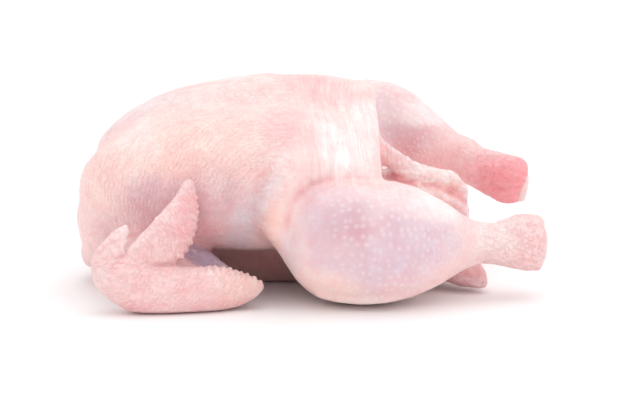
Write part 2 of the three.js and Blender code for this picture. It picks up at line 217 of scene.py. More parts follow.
# The crease where the near drumstick bulges out of the slack skin, drawn in the plane of X and Z
KNEE_CREASE = [
    (-13, 0, 34, 0.1),
    (-14, 0, 52, 0.1),
    (-7, 0, 65, 0.1),
    (9, 0, 71.5, 0.1),
    (31, 0, 70.5, 0.1),
    (50, 0, 65, 0.1),
]
CREASE_DEPTH = 0.8
CREASE_WIDTH = 2.4

# Rows of quill sockets: how high they stand, how far apart they are, and which way the skin under them faces
QUILL_HEIGHT = 1.3
HAND_QUILLS = dict(spacing=3.8, faces=(0.9, 0, -0.45))
ELBOW_QUILLS = dict(spacing=4, faces=(0.3, 0, 0.95))

# The flat map of the skin: the radius at which the map of each part is true to size
BREAST_GIRTH = 60
NEAR_GIRTH = 32
FAR_GIRTH = 22
WING_GIRTH = 12
KNEE = (-16, 74, 50)  # the feather rows of the breast lie in arcs round these points, one on each side
FOREARM_SLANT = 0.7  # how steeply the feather rows cross a limb
HAND_SLANT = 0.5
FOLLICLE_SPACING = 4.6
ROW_SPACING = 2.5
PART_BLEND = 2.5  # over how many millimetres one part of the skin fades into the next

# Where the feathers of the breast grew most densely: centre and radii
FEATHER_TRACTS = [((-52, -70, 84), (48, 46, 30)), ((-108, -55, 66), (32, 50, 38))]

# Meshes
SKIN_CELL = 1.56
JOINT_CELL = 0.9
REACH = ((-142, -118, -3), (139, 118, 130))
BLOCK = 4  # cells along each side of a block that is tested as a whole
BLOCK_REACH = 1.25  # how near to the surface, in its own sides, a block is looked at cell by cell
LINE_STEPS = 6
CULL = 30.0  # distances to a limb beyond this are only roughly right


def smooth_min(a, b, k):
    h = np.maximum(k - np.abs(a - b), 0) / k
    return np.minimum(a, b) - h * h * k / 4


def carve(a, b, k):
    return -smooth_min(-a, b, k)


def turned(p, centre, yaw=0.0, pitch=0.0, roll=0.0):
    q = p - np.array(centre, float)
    y, t, r = np.radians([yaw, pitch, roll])
    x, yy, z = q[:, 0], q[:, 1], q[:, 2]
    x, yy = np.cos(y) * x + np.sin(y) * yy, np.cos(y) * yy - np.sin(y) * x
    x, z = np.cos(t) * x + np.sin(t) * z, np.cos(t) * z - np.sin(t) * x
    yy, z = np.cos(r) * yy + np.sin(r) * z, np.cos(r) * z - np.sin(r) * yy
    return np.stack([x, yy, z], 1)


def ellipsoid(p, centre, radii, **turns):
    q = turned(p, centre, **turns)
    r = np.array(radii, float)
    k0 = np.linalg.norm(q / r, axis=1)
    k1 = np.linalg.norm(q / r**2, axis=1) + 1e-9
    return k0 * (k0 - 1) / k1


def smooth_line(stations):
    """Stations [x, y, z, radius] resampled on a Catmull-Rom curve."""
    s = np.array(stations, float)
    ends = np.vstack([2 * s[0] - s[1], s, 2 * s[-1] - s[-2]])
    out = []
    for i in range(len(s) - 1):
        a, b, c, d = ends[i : i + 4]
        for t in np.arange(LINE_STEPS) / LINE_STEPS:
            out.append(b + 0.5 * t * (c - a + t * (2 * a - 5 * b + 4 * c - d + t * (3 * (b - c) + d - a))))
    out.append(s[-1])
    return np.array(out)


def limb(p, stations, along=(0, 0, 1), ratio=1.0):
    """Distance to a round limb along its stations, ratio times thinner in the direction along."""
    s = smooth_line(stations)
    lo, hi = (s[:, :3] - s[:, 3:]).min(0), (s[:, :3] + s[:, 3:]).max(0)
    out = np.linalg.norm(np.maximum(np.maximum(lo - p, p - hi), 0), axis=1)
    close = out < CULL
    q = p[close]
    n = np.array(along, float) / np.linalg.norm(along)
    best = np.full(len(q), 1e9)
    for a, b in zip(s[:-1], s[1:]):
        ab = b[:3] - a[:3]
        t = np.clip((q - a[:3]) @ ab / (ab @ ab), 0, 1)
        r = q - a[:3] - t[:, None] * ab
        radius = a[3] + (b[3] - a[3]) * t
        r2 = (r * r).sum(1)
        if ratio == 1:
            d = np.sqrt(r2) - radius
        else:
            w2 = (r @ n) ** 2
            s1 = np.sqrt(r2 + (ratio**2 - 1) * w2) + 1e-9
            d = (s1 - radius) * s1 / (np.sqrt(r2 + (ratio**4 - 1) * w2) + 1e-9)
        best = np.minimum(best, d)
    out[close] = best
    return out


def mirrored(p):
    return p * np.array([1, -1, 1])


def torso(p):
    q = turned(p, LEAN_PIVOT, roll=LEAN_DEG)
    d = smooth_min(ellipsoid(q, **FAR_BREAST), ellipsoid(q, **NEAR_BREAST), BREAST_FILLET)
    d = smooth_min(d, limb(q, KEEL), KEEL_FILLET)
    d = smooth_min(d, ellipsoid(p, **NECK_END), NECK_FILLET)
    d = smooth_min(d, limb(p, NECK_SKIN, **NECK_SKIN_FLAT), NECK_SKIN_FILLET)
    d = smooth_min(d, ellipsoid(q, **RIBS), RIBS_FILLET)
    d = smooth_min(d, ellipsoid(q, **BELLY), BELLY_FILLET)
    behind = VENT_EDGE_X - p[:, 0] - VENT_EDGE_SLOPE * (p[:, 2] - VENT_EDGE_LEVEL)
    d = carve(d, behind, VENT_EDGE_FILLET)
    return smooth_min(d, ellipsoid(q, **PELVIS), PELVIS_FILLET)


def leg(p, drumstick, thigh, haunch, cut, fillet):
    upper = smooth_min(limb(p, thigh), limb(p, haunch), THIGH_FILLET)
    beyond = cut["x"] - SKIN_BACK + cut["slope"] * (p[:, 2] - cut["level"]) - p[:, 0]
    return smooth_min(carve(limb(p, drumstick), beyond, CUT_FILLET), upper, fillet)


def near_leg(p):
    d = leg(p, NEAR_DRUMSTICK, NEAR_THIGH, NEAR_HAUNCH, NEAR_CUT, NEAR_KNEE_FILLET)
    return smooth_min(d, limb(p, SHIN_RIDGE), SHIN_FILLET)


def far_leg(p):
    return leg(p, FAR_DRUMSTICK, FAR_THIGH, FAR_HAUNCH, FAR_CUT, FAR_KNEE_FILLET)


def vent(p):
    d = ellipsoid(p, **VENT_LOBE)
    for fold in VENT_FOLDS:
        d = carve(d, limb(p, fold), VENT_FOLD_FILLET)
    return smooth_min(d, limb(p, VENT_FLAP), VENT_FLAP_FILLET)


def wing(p):
    d = smooth_min(limb(p, UPPER_ARM), limb(p, FOREARM, **FOREARM_FLAT), ELBOW_FILLET)
    d = smooth_min(d, limb(p, WING_WEB, **WING_WEB_FLAT), WING_WEB_FILLET)
    d = smooth_min(d, limb(p, HAND, **HAND_FLAT), HAND_FILLET)
    return smooth_min(d, limb(p, THUMB, **THUMB_FLAT), THUMB_FILLET)


def flanks(p):
    far_fold = [(x, -y, z + FAR_FLANK_RISE, r) for x, y, z, r in FLANK_FOLD]
    d = carve(torso(p), limb(p, FLANK_FOLD), FLANK_FILLET)
    d = carve(d, limb(p, far_fold), FLANK_FILLET)
    return smooth_min(d, limb(p, KNEE_WEB), KNEE_WEB_FILLET)


def bird(p):
    d = smooth_min(flanks(p), vent(p), VENT_FILLET)
    d = smooth_min(d, near_leg(p), NEAR_LEG_FILLET)
    d = smooth_min(d, far_leg(p), FAR_LEG_FILLET)
    d = smooth_min(d, limb(p, TAIL, **TAIL_FLAT), TAIL_FILLET)
    d = smooth_min(d, wing(p), WING_FILLET)
    d = smooth_min(d, wing(mirrored(p)), WING_FILLET)
    d = carve(d, ellipsoid(p, **CAVITY), CAVITY_FILLET)
    return carve(d, p[:, 2], TABLE_EDGE)


def grid_points(low, cell, index):
    return np.array(low, float) + cell * index


def surface_net(field, reach, cell):
    """The field's surface as points and quads: one point in each cell that it crosses."""
    low, high = np.array(reach, float)
    low[2] = -1.5 * cell
    blocks = np.ceil((high - low) / (cell * BLOCK)).astype(int)
    centres = np.stack(np.meshgrid(*[np.arange(n) for n in blocks], indexing="ij"), -1).reshape(-1, 3)
    coarse = field(grid_points(low, cell * BLOCK, centres + 0.5)).reshape(blocks)
    spread = np.ones((BLOCK,) * 3)
    values = np.pad(np.kron(coarse, spread), ((0, 1),) * 3, mode="edge")
    close = np.abs(coarse) < cell * BLOCK * BLOCK_REACH
    near = np.pad(np.kron(close, spread) > 0, ((0, 1),) * 3)
    for axis in range(3):
        near |= np.roll(near, 1, axis)
    todo = np.argwhere(near)
    values[near] = field(grid_points(low, cell, todo))

    inside = values < 0
    counts = np.array(values.shape)
    total = np.zeros(counts - 1, int)
    for corner in np.ndindex(2, 2, 2):
        total += inside[tuple(slice(c, n - 1 + c) for c, n in zip(corner, counts))]
    cells = np.argwhere((total > 0) & (total < 8))
    number = np.full(counts - 1, -1)
    number[tuple(cells.T)] = np.arange(len(cells))

    points, crossings, quads = np.zeros((len(cells), 3)), np.zeros(len(cells)), []
    for axis in range(3):
        step = np.eye(3, dtype=int)[axis]
        b, c = np.eye(3, dtype=int)[(axis + 1) % 3], np.eye(3, dtype=int)[(axis + 2) % 3]
        for offset in (0 * b, b, c, b + c):
            start = cells + offset
            v0, v1 = values[tuple(start.T)], values[tuple((start + step).T)]
            crosses = (v0 < 0) != (v1 < 0)
            t = np.where(crosses, v0 / np.where(crosses, v0 - v1, 1), 0)
            points += np.where(crosses[:, None], start + t[:, None] * step, 0)
            crossings += crosses
        one = tuple(slice(0, n - (1 if i == axis else 0)) for i, n in enumerate(counts))
        two = tuple(slice(1 if i == axis else 0, n) for i, n in enumerate(counts))
        edges = np.argwhere(inside[one] != inside[two])
        around = [number[tuple((edges - shift).T)] for shift in (b + c, c, 0 * b, b)]
        quad = np.stack(around, 1)
        outward = inside[tuple(edges.T)]
        quad[~outward] = quad[~outward][:, ::-1]
        quads.append(quad)
    return grid_points(low, cell, points / crossings[:, None]), np.vstack(quads)


def onto(field, points, rounds=1, step=0.15):
    """Points moved along the field's gradient onto its surface."""
    p = points.copy()
    for _ in range(rounds):
        d = field(p)
        slope = np.stack([(field(p + step * axis) - d) / step for axis in np.eye(3)], 1)
        move = d / np.maximum((slope**2).sum(1), 0.25)
        p -= np.clip(move, -1, 1)[:, None] * slope
    return p


def neighbour_pairs(quads):
    pairs = np.vstack([quads[:, [i, (i + 1) % 4]] for i in range(4)])
    return np.unique(np.sort(pairs, 1), axis=0)


def relaxed(values, pairs, share=0.5, rounds=1):
    """Each value moved towards the mean of its neighbours'."""
    flat = values.reshape(len(values), -1).astype(float)
    degree = np.bincount(pairs.ravel(), minlength=len(flat)).astype(float)[:, None]
    for _ in range(rounds):
        total = np.zeros_like(flat)
        for column in range(flat.shape[1]):
            total[:, column] += np.bincount(pairs[:, 0], flat[pairs[:, 1], column], len(flat))
            total[:, column] += np.bincount(pairs[:, 1], flat[pairs[:, 0], column], len(flat))
        flat = flat + share * (total / degree - flat)
    return flat.reshape(values.shape)


def normals_of(points, quads):
    across = np.cross(points[quads[:, 2]] - points[quads[:, 0]], points[quads[:, 3]] - points[quads[:, 1]])
    out = np.zeros_like(points)
    for corner in range(4):
        for axis in range(3):
            out[:, axis] += np.bincount(quads[:, corner], across[:, axis], len(points))
    return out / (np.linalg.norm(out, axis=1, keepdims=True) + 1e-12)


def fine_mesh(field, reach, cell):
    points, quads = surface_net(field, reach, cell)
    pairs = neighbour_pairs(quads)
    points = onto(field, points, 2)
    points = onto(field, relaxed(points, pairs, 0.6, 2))
    return relaxed(points, pairs, 0.4, 1), quads, pairs


def step_up(x, low, high):
    t = np.clip((x - low) / (high - low), 0, 1)
    return t * t * (3 - 2 * t)


def step_down(x, low, high):
    return 1 - step_up(x, low, high)


def lattice(index, seed):
    x, y, z = index[:, 0], index[:, 1], index[:, 2]
    h = (x * 374761393 + y * 668265263 + z * 1442695041 + seed * 1274126177) & 0xFFFFFFFF
    h = ((h ^ (h >> 13)) * 1274126177) & 0xFFFFFFFF
    return ((h ^ (h >> 16)) & 0xFFFF) / 32767.5 - 1


def rough(p, size, seed):
    """Smooth noise from -1 to 1, with features about size across; size may differ along X, Y and Z."""
    q = p / np.array(size, float)
    whole = np.floor(q).astype(np.int64)
    t = q - whole
    t = t * t * (3 - 2 * t)
    out = np.zeros(len(p))
    for corner in np.ndindex(2, 2, 2):
        weight = np.prod(np.where(np.array(corner) == 1, t, 1 - t), axis=1)
        out += weight * lattice(whole + np.array(corner), seed)
    return out


def folds(p, size, seed, mean=0.3):
    """Narrow ridges wherever smooth noise changes sign, in heights about 1 from top to bottom."""
    return (1 - np.abs(rough(p, size, seed))) ** 4 - mean


def along_limb(p, stations):
    """Where each point lies on a limb: millimetres along it, the angle round it from its upper side, and its
    length in terms of its own radius, which keeps a pattern's cells square where the limb tapers."""
    s = smooth_line(stations)
    step = np.linalg.norm(np.diff(s, axis=0), axis=1)
    tapered = step / (0.5 * (s[1:, 3] + s[:-1, 3]))
    reach, turns = np.concatenate([[0], np.cumsum(step)]), np.concatenate([[0], np.cumsum(tapered)])
    best = np.full(len(p), 1e9)
    length, angle, cone = np.zeros(len(p)), np.zeros(len(p)), np.zeros(len(p))
    direction = s[-1, :3] - s[0, :3]
    side = np.cross(direction, (0, 0, 1))
    side /= np.linalg.norm(side)
    up = np.cross(side, direction)
    up /= np.linalg.norm(up)
    for i in range(len(s) - 1):
        ab = s[i + 1, :3] - s[i, :3]
        share = (p - s[i, :3]) @ ab / (ab @ ab)
        t = np.clip(share, 0, 1)
        r = p - s[i, :3] - t[:, None] * ab
        d = np.linalg.norm(r, axis=1)
        closer = d < best
        best = np.where(closer, d, best)
        t = np.minimum(share, 1) if i == 0 else t
        length = np.where(closer, reach[i] + t * step[i], length)
        angle = np.where(closer, np.arctan2(r @ side, r @ up), angle)
        cone = np.where(closer, turns[i] + t * tapered[i], cone)
    return length, angle, cone


def straightened(stations):
    """The stations of a limb moved onto the straight line between its ends."""
    s = np.array(stations, float)
    reach = np.concatenate([[0], np.cumsum(np.linalg.norm(np.diff(s[:, :3], axis=0), axis=1))])
    s[:, :3] = s[0, :3] + (reach / reach[-1])[:, None] * (s[-1, :3] - s[0, :3])
    return s


# The skin


class Skin:
    """The bird's fine skin: its points and quads, and at each point how much of each part it belongs to."""

    def __init__(self):
        self.points, self.quads, self.pairs = fine_mesh(bird, REACH, SKIN_CELL)
        p = self.points
        distances = dict(
            torso=torso(p),
            vent=vent(p),
            near_leg=near_leg(p),
            far_leg=far_leg(p),
            tail=limb(p, TAIL, **TAIL_FLAT),
            near_wing=wing(p),
            far_wing=wing(mirrored(p)),
        )
        nearest = np.min(list(distances.values()), axis=0)
        weights = {name: np.exp(-(d - nearest) / PART_BLEND) for name, d in distances.items()}
        total = sum(weights.values())
        self.part = {name: w / total for name, w in weights.items()}
        self.cavity = step_down(ellipsoid(p, **CAVITY), -0.5, 2.5)
        self.near_shank = along_limb(p, straightened(NEAR_DRUMSTICK))
        self.far_shank = along_limb(p, straightened(FAR_DRUMSTICK))

    def inside_part(self, low, high):
        """1 well inside a part and 0 where parts meet, where their maps don't join."""
        return step_up(np.max(list(self.part.values()), axis=0), low, high)

    def wings(self):
        return self.part["near_wing"] + self.part["far_wing"]

    def ankle(self):
        """1 at the thin ends of the drumsticks and 0 at the knees."""
        x = self.points[:, 0]
        return self.part["near_leg"] * step_up(x, 72, 104) + self.part["far_leg"] * step_up(x, 76, 106)

    def bridge(self):
        """1 on the slack skin between the breast and the near drumstick."""
        x, y, z = self.points.T
        return step_up(x, -16, 2) * step_down(y, -22, -2) * step_up(z, 60, 76) * (1 - self.cavity)

    def under(self):
        """1 on the shaded skin beneath the breast."""
        _, y, z = self.points.T
        return self.part["torso"] * step_down(y, -40, -10) * step_down(z, 20, 34)

    def crease(self):
        """1 along the bottom of the crease round the top of the near drumstick."""
        x, y, z = self.points.T
        across = limb(self.points * np.array([1, 0, 1]), KNEE_CREASE) / CREASE_WIDTH
        fades = step_down(x, 28, 50) * step_down(y, -64, -50) * step_up(z, 34, 46)
        return np.exp(-across**2) * fades * (1 - self.cavity)

    def relief(self):
        """Height of the skin above the smooth form, in millimetres."""
        p, part, ankle = self.points, self.part, self.ankle()
        high = 0.6 * rough(p, 34, 1) + 0.4 * rough(p, 15, 2) + 0.2 * rough(p, 7, 8)

        # Slack skin lies in long fine folds: across the body, up and down over the thigh, along the ankles
        slack = 0.3 + 0.4 * part["tail"] + 0.1 * self.wings()
        high += slack * folds(p, (22, 16, 7), 3)
        sway = 0.12 * p[:, 2] + 4 * rough(p, 30, 16)
        swayed = p + sway[:, None] * np.array([1, 0, 0])
        upright = 0.35 * folds(swayed, (4.4, 34, 40), 4) + 0.3 * folds(swayed, (3.4, 22, 30), 10)
        high += upright * self.bridge()
        high += 0.8 * ankle * folds(p, (30, 6, 6), 5, mean=0.35)
        high += 0.45 * ankle * folds(p, (7, 20, 20), 6, mean=0.35)

        # Puckered skin round the vent and on the tail, and the ribbed lining of the vent
        high += 1.1 * part["vent"] * folds(p, (17, 12, 6), 9)
        high += 0.5 * part["tail"] * folds(p, (7, 7, 20), 7)
        high += self.cavity * (1.4 * folds(p, (16, 8, 11), 17) + 0.5 * rough(p, 5, 18))
        return high + self.quills() - CREASE_DEPTH * self.crease()

    def quills(self):
        """Sockets of the flight feathers: a saw edge behind each hand and along the top of each elbow."""
        out = np.zeros(len(self.points))
        normal = normals_of(self.points, self.quads)
        sides = (
            ("near_wing", self.points, normal),
            ("far_wing", mirrored(self.points), mirrored(normal)),
        )
        for name, q, facing in sides:
            in_hand = limb(q, FOREARM, **FOREARM_FLAT) > 1.5
            forearm = along_limb(q, FOREARM)[0]
            hand = in_hand * socket_row(along_limb(q, HAND)[0], facing, **HAND_QUILLS)
            elbow = ~in_hand * step_down(forearm, 30, 46) * socket_row(forearm, facing, **ELBOW_QUILLS)
            out += QUILL_HEIGHT * self.part[name] * (hand + elbow)
        return out

    def shape(self):
        """The points of the skin with its relief. It stays smooth where it lies on the table."""
        normal = normals_of(self.points, self.quads)
        high = relaxed(self.relief(), self.pairs, 0.3, 1)
        off_table = step_up(self.points[:, 2], 0.6, 3)
        out = self.points + normal * (high * off_table)[:, None]
        out[:, 2] = np.maximum(out[:, 2], 0)
        sharp = ((out - relaxed(out, self.pairs, 0.7, 4)) * normal).sum(1)
        self.bend = relaxed(sharp, self.pairs, 0.5, 1)  # above 0 on ridges and below 0 in creases
        return out


def socket_row(length, facing, spacing, faces):
    """A row of bumps along a limb, where the skin faces the given way."""
    rim = step_up(facing @ (np.array(faces) / np.linalg.norm(faces)), 0.55, 0.95)
    return rim * np.maximum(np.sin(2 * np.pi * length / spacing), -0.3)


# Colours of the skin, linear
CREAM = (0.93, 0.76, 0.73)
BUTTER = (0.95, 0.77, 0.69)
PINK = (0.90, 0.60, 0.60)
ROSE = (0.90, 0.42, 0.45)
CORAL = (0.96, 0.34, 0.37)
PEACH = (0.95, 0.62, 0.54)
LILAC = (0.72, 0.57, 0.65)
MAUVE = (0.74, 0.50, 0.54)
PLUM = (0.64, 0.40, 0.46)
BLUISH = (0.76, 0.72, 0.77)
WHITE = (0.96, 0.88, 0.87)
FAT = (1.0, 0.97, 0.95)
FLESH = (0.62, 0.24, 0.24)
SLATE = (0.40, 0.33, 0.46)
# Painted shade, brown: in the recess beneath the breast, deep in the cavity and in the deepest creases
SHADE_BROWN = (0.40, 0.17, 0.155)

# A pale band of thin skin in front of the groove beside the thigh, drawn in the plane of X and Z
PALE_BAND = [(-20, 0, 74, 1), (-32, 0, 56, 4), (-42, 0, 38, 7)]

# Soft patches of colour: centre, radii, colour and strength. Some are painted light and shade: highlights
# along the tops of the drumsticks, shade along the top of the breast at its front and, in part, beside the
# hand.
PATCHES = [
    ((-72, -60, 92), (56, 44, 26), BUTTER, 0.75),
    ((-112, -50, 68), (26, 50, 34), BUTTER, 0.55),
    # Mauve beside the hand: the skin's own colour, and in part a painted shadow of the hand on the breast
    ((-88, -78, 56), (28, 40, 20), MAUVE, 0.95),
    ((-112, -60, 34), (18, 40, 20), MAUVE, 0.5),
    ((-58, -82, 58), (24, 30, 30), MAUVE, 0.85),
    ((-66, -84, 40), (36, 30, 12), ROSE, 0.4),
    ((-66, -78, 78), (34, 24, 10), PEACH, 0.4),
    ((-14, -60, 98), (14, 30, 24), PINK, 0.6),
    ((-26, -80, 62), (9, 30, 22), PEACH, 0.6),
    ((-20, -84, 46), (10, 30, 18), PEACH, 0.8),
    ((-10, -90, 52), (10, 30, 20), BUTTER, 0.5),
    ((18, -60, 86), (24, 36, 24), WHITE, 0.9),
    ((14, -66, 84), (11, 30, 18), FAT, 0.95),
    ((32, -40, 104), (12, 22, 14), FAT, 0.5),
    ((30, -104, 40), (54, 44, 34), LILAC, 0.9),
    ((14, -110, 46), (22, 30, 18), MAUVE, 0.8),
    ((18, -104, 52), (15, 30, 13), PLUM, 0.6),
    ((58, -96, 40), (34, 34, 18), LILAC, 0.75),
    ((4, -104, 10), (26, 34, 18), BUTTER, 0.85),
    ((-10, -96, 26), (10, 34, 22), CREAM, 0.8),
    ((-12, -98, 34), (8, 30, 16), BLUISH, 0.6),
    # Painted shade: greyer along the top of the breast towards its front
    ((-100, 2, 100), (60, 26, 30), BLUISH, 0.5),
    ((6, -92, 60), (18, 30, 18), LILAC, 0.5),
    ((0, -84, 74), (16, 30, 9), CREAM, 0.6),
    ((96, -56, 40), (26, 24, 16), WHITE, 0.6),
    ((-100, -40, 88), (18, 24, 16), WHITE, 0.5),
    # Painted highlight along the top of the near drumstick
    ((66, -76, 58), (48, 34, 12), WHITE, 0.95),
    ((50, 54, 84), (36, 40, 28), MAUVE, 0.85),
    ((64, 50, 72), (30, 34, 14), ROSE, 0.25),
    ((42, 46, 92), (14, 40, 24), LILAC, 0.5),
    # Painted highlight along the top of the far drumstick
    ((70, 60, 94), (44, 34, 10), WHITE, 0.75),
    ((62, -8, 68), (40, 26, 10), WHITE, 0.6),
    ((82, 58, 62), (20, 34, 18), PINK, 0.8),
    ((80, -14, 60), (16, 22, 16), PEACH, 0.8),
    ((88, -10, 50), (12, 20, 14), ROSE, 0.55),
]


def patch(p, centre, radii):
    distance = np.linalg.norm((p - np.array(centre, float)) / np.array(radii, float), axis=1)
    return step_down(distance, 0.45, 1.15)


class Paint:
    """The colour of the skin at each point, laid on in thin coats, some of them painted light and shade."""

    def __init__(self, skin):
        self.skin = skin
        self.tint = np.tile(np.array(CREAM), (len(skin.points), 1))

    def lay(self, colour, amount):
        amount = np.clip(amount, 0, 1)[:, None]
        self.tint = self.tint * (1 - amount) + np.array(colour) * amount

    def body(self):
        p, torso_part = self.skin.points, self.skin.part["torso"]
        # Painted shade: the body pinker lower down and palest on its top, where the light falls
        self.lay(PINK, 0.35 * torso_part * step_down(p[:, 2], 50, 96))
        self.lay(PINK, 0.55 * step_up(rough(p, 26, 11), -0.6, 0.8))
        self.lay(WHITE, 0.5 * torso_part * step_up(rough(p, (30, 20, 12), 14), 0.0, 0.9))
        for centre, radii, colour, strength in PATCHES:
            self.lay(colour, strength * patch(p, centre, radii) * (0.85 + 0.3 * rough(p, 9, 12)))

    def wings(self):
        x, _, z = self.skin.points.T
        wings = self.skin.wings()
        self.lay(CREAM, 0.9 * wings)
        self.lay(PINK, 0.55 * wings)
        self.lay(ROSE, 0.35 * wings * step_up(rough(self.skin.points, 14, 13), -0.1, 0.9))
        self.lay(ROSE, 0.4 * wings * step_up(x, -84, -70) * step_up(z, 30, 50))
        self.lay(PEACH, 0.55 * wings * step_up(x, -62, -38))
        self.lay(ROSE, 0.3 * wings * step_down(z, 4, 12))

    def legs(self):
        x, _, z = self.skin.points.T
        part = self.skin.part
        self.lay(PINK, 0.25 * self.skin.ankle())
        self.lay(ROSE, 0.8 * part["far_leg"] * step_up(x, 80, 112) * step_down(z, 62, 76))
        self.lay(CORAL, 0.8 * part["far_leg"] * step_up(x, 88, 122) * step_down(z, 56, 72))
        self.lay(ROSE, 0.18 * part["near_leg"] * step_up(x, 104, 126))
        self.lay(ROSE, 0.45 * part["tail"])

    def flanks(self):
        """Pale thin skin in front of the thigh; painted shade in the groove beside it and along the crease
        round the near drumstick; the upper arms slate, partly their own colour and partly painted shade; and
        painted brown shade low in the recess beneath the breast.
        """
        p, torso_part = self.skin.points, self.skin.part["torso"]
        x, _, z = p.T
        band = limb(p * np.array([1, 0, 1]), PALE_BAND) + 3 * rough(p, 7, 15)
        self.lay(BLUISH, 0.75 * torso_part * step_down(band, -4, 6))
        # Painted shade: mauve in the groove beside the thigh
        groove = step_down(limb(p, FLANK_FOLD), 1, 5) * step_up(z, 34, 44) * step_down(z, 72, 88)
        self.lay(MAUVE, 0.4 * groove * step_up(x, -36, -26))
        # The upper arms slate: partly their own bluish colour, partly painted shade, as they lie in the dark
        # beneath the breast
        upper_arms = np.minimum(limb(p, UPPER_ARM), limb(mirrored(p), UPPER_ARM))
        self.lay(SLATE, 0.85 * step_down(upper_arms, 0, 2))
        # Painted shade: brown low in the recess beneath the breast
        self.lay(SHADE_BROWN, 0.7 * torso_part * step_down(z, 16, 32) * step_down(np.abs(x + 30), 34, 56))
        # Painted shade: redder along the crease round the top of the near drumstick
        self.lay(ROSE, 0.1 * self.skin.crease())

    def cavity(self):
        """Pale fat round the mouth of the cavity, and dark red flesh with paler streaks in it, browner
        deeper in as painted shade.
        """
        p, inside = self.skin.points, self.skin.cavity
        x = p[:, 0]
        off_rim = np.abs(ellipsoid(p, **CAVITY) - 3.5)
        self.lay(FAT, 0.6 * step_down(off_rim, 1, 4) * step_up(x, 26, 34))
        self.lay(FLESH, (0.85 + 0.15 * rough(p, 9, 19)) * inside)
        # Painted shade: the flesh browner deeper into the cavity
        self.lay(SHADE_BROWN, 0.75 * inside * step_down(x - 5 * rough(p, 12, 20), -2, 30))
        self.lay(PINK, 0.45 * inside * step_up(rough(p, (18, 7, 10), 21), 0.1, 0.7))

    def relief(self):
        """Painted light and shade that follow the relief: ridges paler as a painted highlight and creases
        redder as painted shade, most of all round the vent; away from the vent the deepest creases are
        browner, also painted shade.
        """
        raised, sunk, vent_part = self.skin.bend, -self.skin.bend, self.skin.part["vent"]
        self.lay(WHITE, 0.4 * step_up(raised, 0.05, 0.3) * (1 - 0.75 * self.skin.ankle()))
        self.lay(ROSE, 0.3 * step_up(sunk, 0.05, 0.3))
        self.lay(WHITE, 0.5 * vent_part * step_up(raised, 0.0, 0.2))
        self.lay(ROSE, 0.4 * vent_part * step_up(sunk, 0.02, 0.22))
        self.lay(SHADE_BROWN, 0.3 * step_up(sunk, 0.15, 0.5) * (1 - vent_part))


def painted(skin):
    paint = Paint(skin)
    paint.body()
    paint.wings()
    paint.legs()
    paint.flanks()
    paint.cavity()
    paint.relief()
    return np.clip(paint.tint, 0, 1)


def skin_map(skin):
    """A flat map of the skin in millimetres: arcs round the knees on the body, along and round the limbs."""
    p, part = skin.points, skin.part
    knees = np.array([KNEE] * len(p), float)
    knees[p[:, 1] < 0, 1] *= -1
    from_knee = p - knees
    u = np.linalg.norm(from_knee, axis=1)
    v = np.arctan2(from_knee[:, 2], -from_knee[:, 0]) * BREAST_GIRTH
    legs = (("near_leg", skin.near_shank, NEAR_GIRTH), ("far_leg", skin.far_shank, FAR_GIRTH))
    for name, (_, angle, cone), girth in legs:
        u = np.where(part[name] > 0.5, cone * girth, u)
        v = np.where(part[name] > 0.5, angle * girth, v)
    for name, q in (("near_wing", p), ("far_wing", mirrored(p))):
        in_hand = limb(q, HAND, **HAND_FLAT) < limb(q, FOREARM, **FOREARM_FLAT)
        for mine, stations, slant in ((~in_hand, FOREARM, FOREARM_SLANT), (in_hand, HAND, HAND_SLANT)):
            length, angle, _ = along_limb(q, stations)
            u = np.where(mine & (part[name] > 0.5), length + slant * angle * WING_GIRTH, u)
            v = np.where(mine & (part[name] > 0.5), angle * WING_GIRTH, v)
    return np.stack([u, v, np.zeros(len(p))], 1)


def follicles(skin):
    """How plainly the follicles show at each point, as white dots."""
    part = skin.part
    angle = np.where(part["near_leg"] > part["far_leg"], skin.near_shank[1], skin.far_shank[1])
    off_seam = step_up(math.pi - np.abs(angle), 0.15, 0.5)
    legs = (part["near_leg"] + part["far_leg"]) * off_seam * (1 - 0.8 * skin.ankle())
    legs = legs * step_up(skin.points[:, 0], -2, 20)
    return skin.inside_part(0.7, 0.95) * (legs + 0.12 * part["torso"])


def rows(skin):
    """How plainly the feather tracts show at each point, as fine rows."""
    part, p = skin.part, skin.points
    wings = np.zeros(len(p))
    for name, q in (("near_wing", p), ("far_wing", mirrored(p))):
        off_wrist = np.abs(limb(q, HAND, **HAND_FLAT) - limb(q, FOREARM, **FOREARM_FLAT))
        wings += part[name] * step_up(off_wrist, 0.2, 2)
    near_side = np.minimum(p, mirrored(p))
    tract = np.max([patch(near_side, centre, radii) for centre, radii in FEATHER_TRACTS], axis=0)
    breast = part["torso"] * (0.3 + 0.4 * tract) * (1 - skin.bridge()) * (1 - skin.under())
    return skin.inside_part(0.6, 0.9) * (breast + 0.6 * wings)


def wrinkles(skin):
    """How wrinkled the skin is at each point."""
    part = skin.part
    out = 0.5 * skin.ankle() + 0.7 * part["tail"] + 0.6 * part["vent"]
    out += 0.3 * part["torso"] * (1 - skin.bridge()) + 0.4 * skin.wings()
    return np.clip(out, 0, 1)


def strands(skin):
    """How plainly upright strands show: on the slack skin over the thigh and under the breast."""
    return np.clip(skin.bridge() + 0.7 * skin.under(), 0, 1)


SKIN_DETAIL = dict(follicles=follicles, rows=rows, wrinkles=wrinkles, strands=strands)


def place(points):
    """Millimetres in the bird's own frame to metres in the part's frame."""
    return (points - np.array([BOX_CENTRE[0], BOX_CENTRE[1], 0])) * MM


def make_object(name, points, quads, material):
    mesh = bpy.data.meshes.new(name)
    mesh.from_pydata(points.tolist(), [], quads.tolist())
    mesh.validate()
    mesh.shade_smooth()
    mesh.materials.append(material)
    obj = bpy.data.objects.new(name, mesh)
    bpy.context.scene.collection.objects.link(obj)
    return obj


def kept_in_box(points):
    low, high = np.array(cad_low), np.array(cad_high)
    return np.minimum(np.maximum(points, low), high)


